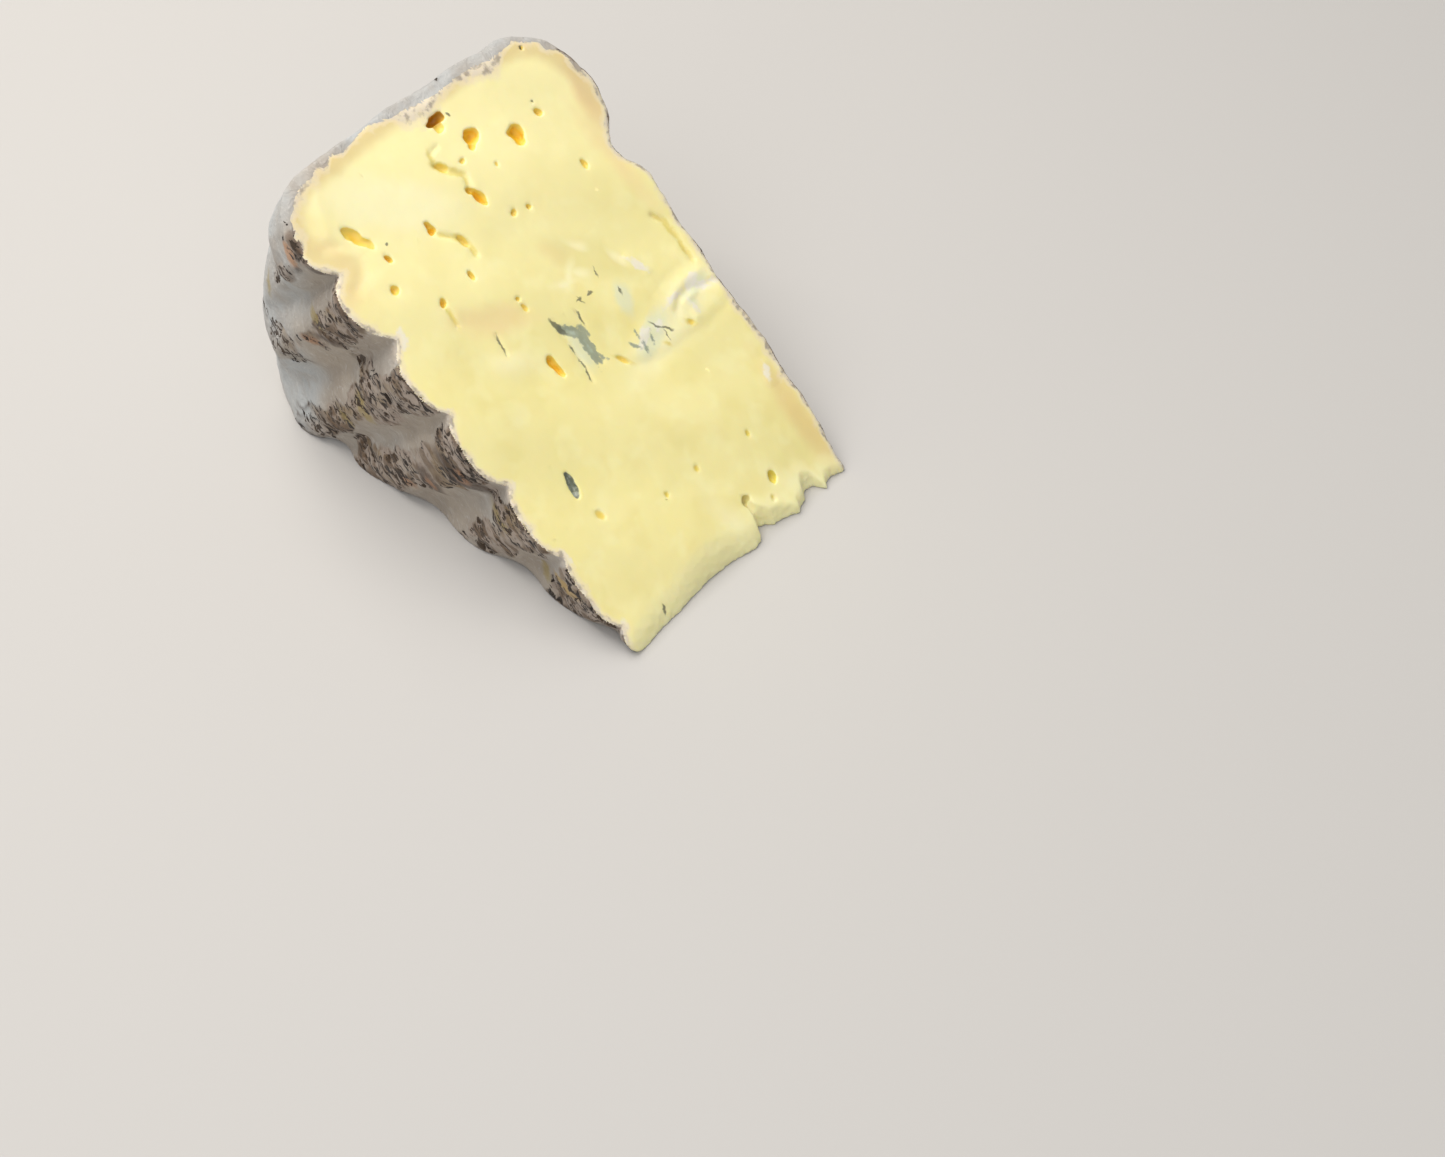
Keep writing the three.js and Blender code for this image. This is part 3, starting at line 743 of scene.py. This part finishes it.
paste = bpy.data.materials.new("soft_cheese_paste")
paste.use_nodes = True
tree = paste.node_tree
bsdf = tree.nodes["Principled BSDF"]
turn = Euler((0, OPENING, 0))
cut = add(
    tree, "ShaderNodeMapping",
    {
        "Vector": add(tree, "ShaderNodeTexCoord").outputs["Object"],
        "Location": -(turn.to_matrix() @ AXIS),
        "Rotation": turn,
        "Scale": (1 / MM, 1 / MM, 1 / MM),
    },
).outputs["Vector"]
outwards = add(tree, "ShaderNodeSeparateXYZ", {0: cut}).outputs[0]
softly = shaken(tree, cut, 9, 2.2)
ragged = shaken(tree, shaken(tree, cut, 2.6, 0.8), 0.8, 0.35)
under, tip_painted_light, hollow, broken = (
    add(tree, "ShaderNodeAttribute", attribute_name=name).outputs["Fac"]
    for name in ("under_rind", "tip_painted_light", "hollow", "broken")
)

# Patterns in the paste: where they are laid, their lumps in mm, and how finely these break up.
PASTE_PATTERNS = {
    "broad": (cut, 26, 3), "dull": (softly, 11, 2), "creamy": (softly, 7, 2), "wavy": (cut, 5, 2),
    "crumbly": (cut, 1.6, 3), "mouldy": (cut, 1.2, 3), "specked": (cut, 1.1, 3),
}
pattern = {}
for name, (laid_on, lump, detail) in PASTE_PATTERNS.items():
    sockets = {"Vector": laid_on, "Scale": 1 / lump, "Detail": detail}
    pattern[name] = add(tree, "ShaderNodeTexNoise", sockets).outputs["Fac"]

# The paste itself: creamy yellow in broad soft patches, and tinted in places. Paler towards the
# rim, where the cut is lit most, and in pale patches: painted light and painted highlights.
sockets = {0: pattern["broad"], 6: linear("#ebdf94"), 7: linear("#f3e9ab")}
tone = add(tree, "ShaderNodeMix", sockets, data_type="RGBA").outputs[2]
tone = stain(tree, tone, "#e4d688", pattern["dull"], 0.48, 0.7, 0.35)
tone = stain(tree, tone, "#f6f0b8", pattern["creamy"], 0.5, 0.7, 0.35)
# Painted light: paler towards the rim, where the cut is lit most.
tone = stain(tree, tone, "#f7edb4", outwards, 62, 118, 0.65)
# Painted highlights: the pale patches.
tone = stain(tree, tone, "#f8f1c4", strokes(tree, softly, PAINTED_HIGHLIGHTS), -2.5, 3, 0.6)
for tint, rows in TINTS.items():
    tone = stain(tree, tone, tint, strokes(tree, softly, rows), -2.4, 1.6, 0.7)

# A darker band runs under the rind of the rim, some 4 to 8 mm deep.
near_rim = add(
    tree, "ShaderNodeMapRange",
    {"Value": outwards, "From Min": 90, "From Max": 116, "To Max": 0.85},
    interpolation_type="SMOOTHSTEP",
).outputs["Result"]
sockets = {0: pattern["wavy"], 1: 2.4, 2: under}
depth = add(tree, "ShaderNodeMath", sockets, operation="MULTIPLY_ADD").outputs[0]
tone = stain(tree, tone, "#dcc88e", depth, 7.8, 4.2, near_rim)

# Creases that the knife left, yellow or pale. The torn tip is paled: painted light on a face
# that turns away from the window.
tone = stain(tree, tone, "#e2d070", strokes(tree, ragged, YELLOW_CREASES), -0.3, 0.5, 0.75)
tone = stain(tree, tone, "#f9f2c6", strokes(tree, softly, PALE_CREASES), -0.9, 0.8, 0.6)
# Painted light: the torn tip's face is paled so that it reads as lit.
sockets = {0: tip_painted_light, 6: tone, 7: linear("#fbf3bd")}
tone = add(tree, "ShaderNodeMix", sockets, data_type="RGBA").outputs[2]

# The eyes: yellow where shallow, golden with depth as painted light bounced inside them, brown
# deepest as painted shade, and greener by the tip. Three of them differ.
eye_tint_glow_and_shade = stain(tree, linear("#edd264"), "#f0bf2e", hollow, 0.7, 1.4)
eye_tint_glow_and_shade = stain(tree, eye_tint_glow_and_shade, "#de9d1c", hollow, 1.5, 2.4)
eye_tint_glow_and_shade = stain(tree, eye_tint_glow_and_shade, "#ddd05e", outwards, 34, 16, 0.8)
eye_tint_glow_and_shade = stain(tree, eye_tint_glow_and_shade, "#dccf8c", strokes(tree, cut, PALE_EYE), -0.4, 0.4, 0.8)
eye_tint_glow_and_shade = stain(tree, eye_tint_glow_and_shade, "#ac6c0c", strokes(tree, cut, BROWN_EYE), -0.4, 0.6, 0.8)
grey = stain(tree, linear("#777b68"), "#a3a797", pattern["mouldy"], 0.45, 0.6)
eye_tint_glow_and_shade = stain(tree, eye_tint_glow_and_shade, grey, strokes(tree, cut, GREY_EYE), -0.3, 0.6)
# Painted light and shade: the eyes glow golden and darken with depth.
tone = stain(tree, tone, eye_tint_glow_and_shade, hollow, 0.07, 0.34)

# Moulds: a green haze, white fuzz, blue patches and thin dark veins over them. In the fold's
# crease the green haze is painted shade.
tone = stain(tree, tone, "#dcdfbe", strokes(tree, ragged, GREEN_HAZE_AND_SHADE), -0.9, 0.9, 0.7)
sockets = {0: pattern["specked"], 1: 1.6, 2: strokes(tree, ragged, WHITE_FUZZ)}
fuzz = add(tree, "ShaderNodeMath", sockets, operation="MULTIPLY_ADD").outputs[0]
tone = stain(tree, tone, "#eae4d4", fuzz, 0.7, 1.5, 0.8)
sockets = {0: pattern["specked"], 1: 1.2, 2: strokes(tree, ragged, BLUE_PATCHES)}
blue = add(tree, "ShaderNodeMath", sockets, operation="MULTIPLY_ADD").outputs[0]
tone = stain(tree, tone, "#8d9685", blue, 0.45, 0.9, 0.85)
tone = stain(tree, tone, "#b4bfa9", blue, 1.2, 1.9, 0.7)
tone = stain(tree, tone, "#6c6c55", strokes(tree, ragged, DARK_VEINS), -0.12, 0.16, 0.85)

# The arris by the rind: crumbled, whitish, with dark specks.
sockets = {0: pattern["specked"], 1: 0.9, 2: broken}
crumb = add(tree, "ShaderNodeMath", sockets, operation="MULTIPLY_ADD").outputs[0]
arris = stain(tree, linear("#dbcfb6"), "#a89d8c", pattern["crumbly"], 0.45, 0.66)
tone = stain(tree, tone, "#e9dbba", crumb, -1.0, -0.3, 0.6)
tone = stain(tree, tone, arris, crumb, -0.35, 0.15)
tree.links.new(tone, bsdf.inputs["Base Color"])
bsdf.inputs["Roughness"].default_value = 0.45
bsdf.inputs["IOR"].default_value = 1.45
bsdf.inputs["Subsurface Weight"].default_value = 0.4
bsdf.inputs["Subsurface Radius"].default_value = (1.0, 0.8, 0.35)
bsdf.inputs["Subsurface Scale"].default_value = 3 * MM
slice_mesh.materials.append(paste)


# ---- The rind -----------------------------------------------------------
# A natural rind: a dry felt of grey and white moulds on a brown crust, from months in a
# cellar, turned and rubbed by hand. It is matt all over, so it has no highlights.

# Patches on the grooved side, by colour: dark scabs, then rust, ochre and olive over them.
# Each has x and height of both its ends, and half width.
SPOTS = {
    "#453425": [
        (91.4, 67.6, 90.8, 64.6, 0.9), (92.4, 61.8, 92.8, 60.0, 1.0), (88.2, 64.6, 84.6, 63.2, 1.0),
        (55, 28, 46.5, 23.4, 3.4), (62.8, 17.6, 60.2, 13, 2.4), (91.9, 42, 83, 43.3, 1.3),
        (108.4, 5.9, 104, 8.1, 0.6), (109.1, 3.7, 105, 5.3, 0.6), (104.9, 8, 101.1, 11.6, 0.6),
        (100, 29.6, 97.7, 28, 0.8),
    ],
    "#c48f62": [(94.2, 65.4, 93.9, 63.4, 2.5)],
    "#b5985c": [(25, 9.6, 19.5, 9.8, 2.2)],
    "#a87f5f": [
        (50.5, 26.6, 49.4, 25, 1.8), (61.6, 16, 61, 13.6, 1.3), (71, 9, 68, 8, 1.2),
        (95.6, 38.6, 91.4, 39.6, 1.5),
    ],
    "#9d8a52": [
        (81.2, 30.4, 80.8, 25, 1.6), (89.5, 18.5, 87.6, 16, 1.8), (80.6, 25.8, 78.2, 23.4, 1.4),
        (30.4, 8.2, 29.4, 5, 1.4), (109.6, 45.4, 109.4, 41.6, 1.2),
        (91, 49, 88, 47.4, 1.8), (43, 20, 38, 17, 1.2),
    ],
}
GROOVED_SIDE_LEVEL = 36  # how far they lie across from the wheel's middle plane
GROOVED_SIDE_REACH = 14  # and how far from there they reach

rind = bpy.data.materials.new("natural_mould_rind")
rind.use_nodes = True
tree = rind.node_tree
bsdf = tree.nodes["Principled BSDF"]
along_grooves = add(
    tree, "ShaderNodeMapping",
    {
        "Vector": add(tree, "ShaderNodeTexCoord").outputs["Object"],
        "Rotation": (0, GROOVE_HEADING, 0),
        "Scale": (1 / MM, 1 / MM, 1 / MM),
    },
).outputs["Vector"]
over_ridges = add(
    tree, "ShaderNodeVectorMath",
    {0: shaken(tree, along_grooves, 6, 2.4), 1: DRAWN_OUT}, operation="MULTIPLY",
).outputs[0]
on_grooved_side = add(
    tree, "ShaderNodeMapping",
    {
        "Vector": add(tree, "ShaderNodeTexCoord").outputs["Object"],
        "Location": (-AXIS.x, 0, AXIS.y),
        "Rotation": (math.radians(-90), 0, 0),
        "Scale": (1 / MM, 1 / MM, 1 / MM),
    },
).outputs["Vector"]
side_ragged = shaken(tree, shaken(tree, on_grooved_side, 2.4, 0.9), 0.8, 0.5)
crust, cracked, crags, to_rim, hollow = (
    add(tree, "ShaderNodeAttribute", attribute_name=name).outputs["Fac"]
    for name in ("rubbed", "cracked", "crags", "to_rim", "hollow")
)

# Patterns in the rind: where they are laid, their lumps in mm, and how finely these break up.
RIND_PATTERNS = {
    "drifting": (along_grooves, 16, 3), "warm": (along_grooves, 9, 2),
    "cloudy": (along_grooves, 7, 4), "coarse": (over_ridges, 2.4, 4),
    "dashed": (over_ridges, 0.85, 3), "fine": (over_ridges, 0.8, 3),
}
pattern = {}
for name, (laid_on, lump, detail) in RIND_PATTERNS.items():
    sockets = {"Vector": laid_on, "Scale": 1 / lump, "Detail": detail}
    pattern[name] = add(tree, "ShaderNodeTexNoise", sockets).outputs["Fac"]

# The felt: warm grey, clouded and dusted with white. Paler and bluer towards the rim, in drifts:
# painted cool light where the rind turns up towards the lights.
# Painted cool light: the felt turns paler and bluer towards the rim.
sockets = {0: pattern["drifting"], 1: 1.6, 2: to_rim}
drift_and_cool_light = add(tree, "ShaderNodeMath", sockets, operation="MULTIPLY_ADD").outputs[0]
felt = stain(tree, linear("#aa9e8e"), "#b2b4b2", drift_and_cool_light, 0.6, 1.8)
sockets = {0: to_rim, 1: -0.3, 2: 0.6}
clouds = add(tree, "ShaderNodeMath", sockets, operation="MULTIPLY_ADD").outputs[0]
felt = stain(tree, felt, "#998d7f", pattern["cloudy"], 0.42, 0.62, clouds)
felt = stain(tree, felt, "#cbc8c2", pattern["fine"], 0.54, 0.74, 0.4)

# The crust: streaks of brown, pinkish grey and ochre, where the felt has gone. Towards the
# rim a part of the felt is left on it.
scabby = stain(tree, linear("#705c48"), "#a39486", pattern["coarse"], 0.42, 0.54)
scabby = stain(tree, scabby, "#66533f", pattern["fine"], 0.54, 0.66, 0.5)
scabby = stain(tree, scabby, "#8d7752", pattern["warm"], 0.54, 0.68, 0.6)
sockets = {0: pattern["cloudy"], 1: 1.4, 2: crust}
worn = add(tree, "ShaderNodeMath", sockets, operation="MULTIPLY_ADD").outputs[0]
sockets = {0: to_rim, 1: -0.7, 2: 1}
bare = add(tree, "ShaderNodeMath", sockets, operation="MULTIPLY_ADD").outputs[0]
ground = stain(tree, felt, scabby, worn, 1.0, 1.85, bare)

# Along the upper cut, the crust on the ridges is darker brown.
sockets = {0: pattern["coarse"], 1: 2.4, 2: hollow}
edge = add(tree, "ShaderNodeMath", sockets, operation="MULTIPLY_ADD").outputs[0]
on_ridges = add(
    tree, "ShaderNodeMapRange",
    {"Value": worn, "From Min": 1.0, "From Max": 1.85, "To Max": 0.8},
    interpolation_type="SMOOTHSTEP",
).outputs["Result"]
ground = stain(tree, ground, "#5d4a38", edge, 3.0, 1.6, on_ridges)
for tint, rows in SPOTS.items():
    spot = strokes(tree, side_ragged, rows, level=-GROOVED_SIDE_LEVEL, thick=GROOVED_SIDE_REACH)
    ground = stain(tree, ground, tint, spot, -0.5, 0.9, 0.75)

# Tears in the crust: fine dark dashes that cross the ridges and come in clusters, and the
# bottoms of the crags.
sockets = {0: pattern["cloudy"], 1: 0.8, 2: cracked}
cluster = add(tree, "ShaderNodeMath", sockets, operation="MULTIPLY_ADD").outputs[0]
cluster = add(
    tree, "ShaderNodeMapRange", {"Value": cluster, "From Min": 0.45, "From Max": 1.35},
    interpolation_type="SMOOTHSTEP",
).outputs["Result"]
most = add(
    tree, "ShaderNodeMapRange", {"Value": cluster, "From Min": 0.1, "From Max": 0.4},
    interpolation_type="SMOOTHSTEP",
).outputs["Result"]
sockets = {0: cluster, 1: 0.13, 2: pattern["dashed"]}
dashes = add(tree, "ShaderNodeMath", sockets, operation="MULTIPLY_ADD").outputs[0]
dashes = add(
    tree, "ShaderNodeMapRange",
    {"Value": dashes, "From Min": 0.645, "From Max": 0.685, "To Max": most},
    interpolation_type="SMOOTHSTEP",
).outputs["Result"]
sockets = {0: pattern["dashed"], 1: 1.6, 2: crags}
deep = add(tree, "ShaderNodeMath", sockets, operation="MULTIPLY_ADD").outputs[0]
deep = add(
    tree, "ShaderNodeMapRange", {"Value": deep, "From Min": 1.3, "From Max": 1.7},
    interpolation_type="SMOOTHSTEP",
).outputs["Result"]
cracks = add(tree, "ShaderNodeMath", {0: dashes, 1: deep}, operation="MAXIMUM").outputs[0]
pit = stain(tree, linear("#2b2118"), "#4a3a29", pattern["cloudy"], 0.4, 0.6)
sockets = {0: cracks, 6: ground, 7: pit}
ground = add(tree, "ShaderNodeMix", sockets, data_type="RGBA").outputs[2]
tree.links.new(ground, bsdf.inputs["Base Color"])
bsdf.inputs["Roughness"].default_value = 0.9
bsdf.inputs["Sheen Weight"].default_value = 0.1
sockets = {0: cracks, 1: -1, 2: pattern["fine"]}
rise = add(tree, "ShaderNodeMath", sockets, operation="MULTIPLY_ADD").outputs[0]
bump = add(tree, "ShaderNodeBump", {"Height": rise, "Strength": 0.8, "Distance": 0.5 * MM})
tree.links.new(bump.outputs[0], bsdf.inputs["Normal"])
slice_mesh.materials.append(rind)

# A face belongs to the rind where it lies in the rind's skin or in a pit of it, and on the
# rim also where the arris has crumbled down into it.
RIND_SKIN = 0.4
PIT_DEPTH = 1.7
BELOW_CUT = 0.3
WITHIN_ARRIS = -0.4
RIM_FROM = 110
RIM_SKIN = 2.6
corners_of = np.empty(len(slice_mesh.loops), np.int32)
slice_mesh.loops.foreach_get("vertex_index", corners_of)
depth, inner, arris, radius = (
    values[corners_of.reshape(-1, 3)].mean(1)
    for values in (marks["under_rind"], marks["hollow"], marks["broken"], np.hypot(x, z))
)
in_rind = depth < RIND_SKIN
in_rind |= (depth < PIT_DEPTH) & (inner > BELOW_CUT) & (arris < WITHIN_ARRIS)
in_rind |= (depth < RIM_SKIN) & (radius > RIM_FROM) & (arris > WITHIN_ARRIS)
slice_mesh.polygons.foreach_set("material_index", in_rind.astype(np.int32))

visual_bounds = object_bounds()
sizes = {"cad": cad_bounds, "visual": visual_bounds}
